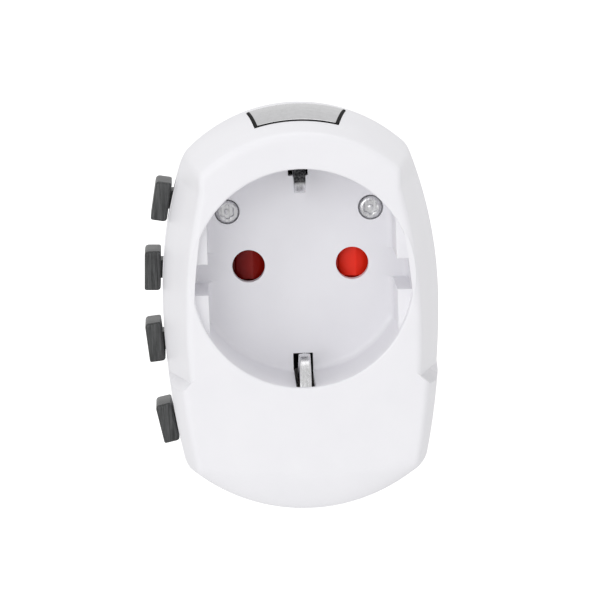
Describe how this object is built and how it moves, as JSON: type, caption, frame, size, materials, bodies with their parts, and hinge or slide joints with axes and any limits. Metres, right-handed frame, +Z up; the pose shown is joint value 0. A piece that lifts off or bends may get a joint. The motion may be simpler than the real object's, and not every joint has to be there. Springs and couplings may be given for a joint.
{
  "type": "universal travel adapter",
  "caption": "Off-white travel adapter with a recessed round earthed socket, a chrome release key on top and thumb knobs on one flank that slide out plug pins at the back.",
  "frame": {"origin": "centre of the round socket's mouth, in the plane of the front panel", "axes": "+Z up, along the tall side; +Y from the socket mouth into the body, towards the wall; +X to the right when looking into the socket, so the knobs are at -X"},
  "size_m": [0.0545, 0.066, 0.0738],
  "materials": {
    "white_shell": "smooth, soft sheen, cool off-white",
    "chrome_key": "mirror chrome",
    "screw_steel": "dark zinc",
    "grey_insulator": "moulded insulator",
    "brass": "stamped brass",
    "sprung_steel": "bright spring steel",
    "red_shutter": "red moulding",
    "fuse_tube": "glazed tube with plated caps",
    "dark_knob": "dark charcoal, fine streaks",
    "dark_carriage": "dark charcoal",
    "black_sleeve": "black",
    "plated_pin": "nickel plate"
  },
  "bodies": {
    "housing": {"button_spring": "sprung_steel", "contact_block": "grey_insulator", "detent_springs": "sprung_steel", "earth_bus": "brass", "earth_clip_bottom": "sprung_steel", "earth_clip_top": "sprung_steel", "earth_strap": "brass", "front_cover": "white_shell", "front_screws": "screw_steel", "fuse": "fuse_tube", "fuse_base": "grey_insulator", "fuse_clips": "brass", "live_bus": "brass", "live_socket_contact": "brass", "main_housing": "white_shell", "neutral_bus": "brass", "neutral_socket_contact": "brass", "rear_cover": "white_shell", "rear_screw": "screw_steel", "shutter_spring": "sprung_steel"},
    "shutter": {"shutter": "red_shutter"},
    "button": {"lock_bar": "grey_insulator", "release_button": "chrome_key"},
    "plug_j": {"type_j_carriage": "dark_carriage", "type_j_earth_pin": "plated_pin", "type_j_knob": "dark_knob", "type_j_live_pin": "plated_pin", "type_j_neutral_pin": "plated_pin", "type_j_pin_sleeves": "black_sleeve"},
    "plug_g": {"type_g_carriage": "dark_carriage", "type_g_earth_pin": "plated_pin", "type_g_knob": "dark_knob", "type_g_live_pin": "plated_pin", "type_g_neutral_pin": "plated_pin", "type_g_pin_sleeves": "black_sleeve"},
    "plug_ab": {"type_ab_carriage": "dark_carriage", "type_ab_earth_pin": "plated_pin", "type_ab_knob": "dark_knob"},
    "live_turret": {"type_ab_live_pin": "plated_pin", "type_ab_live_turret": "dark_carriage"},
    "neutral_turret": {"type_ab_neutral_pin": "plated_pin", "type_ab_neutral_turret": "dark_carriage"},
    "plug_l": {"type_l_carriage": "dark_carriage", "type_l_earth_pin": "plated_pin", "type_l_knob": "dark_knob", "type_l_live_pin": "plated_pin", "type_l_neutral_pin": "plated_pin", "type_l_pin_sleeves": "black_sleeve"}
  },
  "joints": [
    {"name": "shutter_slide", "type": "slide", "parent": "housing", "child": "shutter", "axis": [1, 0, 0], "range_m": [0, 0.0062], "stiffness_N_per_m": 60, "springref_m": -0.004, "deforming": ["shutter_spring"]},
    {"name": "button_press", "type": "slide", "parent": "housing", "child": "button", "axis": [0, 0, -1], "range_m": [0, 0.0016], "stiffness_N_per_m": 500, "springref_m": -0.002, "deforming": ["button_spring"]},
    {"name": "plug_j_slide", "type": "slide", "parent": "housing", "child": "plug_j", "axis": [0, 1, 0], "range_m": [0, 0.0225]},
    {"name": "plug_g_slide", "type": "slide", "parent": "housing", "child": "plug_g", "axis": [0, 1, 0], "range_m": [0, 0.0225]},
    {"name": "plug_ab_slide", "type": "slide", "parent": "housing", "child": "plug_ab", "axis": [0, 1, 0], "range_m": [0, 0.0225]},
    {"name": "plug_l_slide", "type": "slide", "parent": "housing", "child": "plug_l", "axis": [0, 1, 0], "range_m": [0, 0.0225]},
    {"name": "live_blade_turn", "type": "hinge", "parent": "plug_ab", "child": "live_turret", "pos_m": [0.00635, 0.04, -0.0132], "axis": [0, 1, 0], "range_deg": [-30, 0]},
    {"name": "neutral_blade_turn", "type": "hinge", "parent": "plug_ab", "child": "neutral_turret", "pos_m": [-0.00635, 0.04, -0.0132], "axis": [0, 1, 0], "range_deg": [0, 30]}
  ]
}
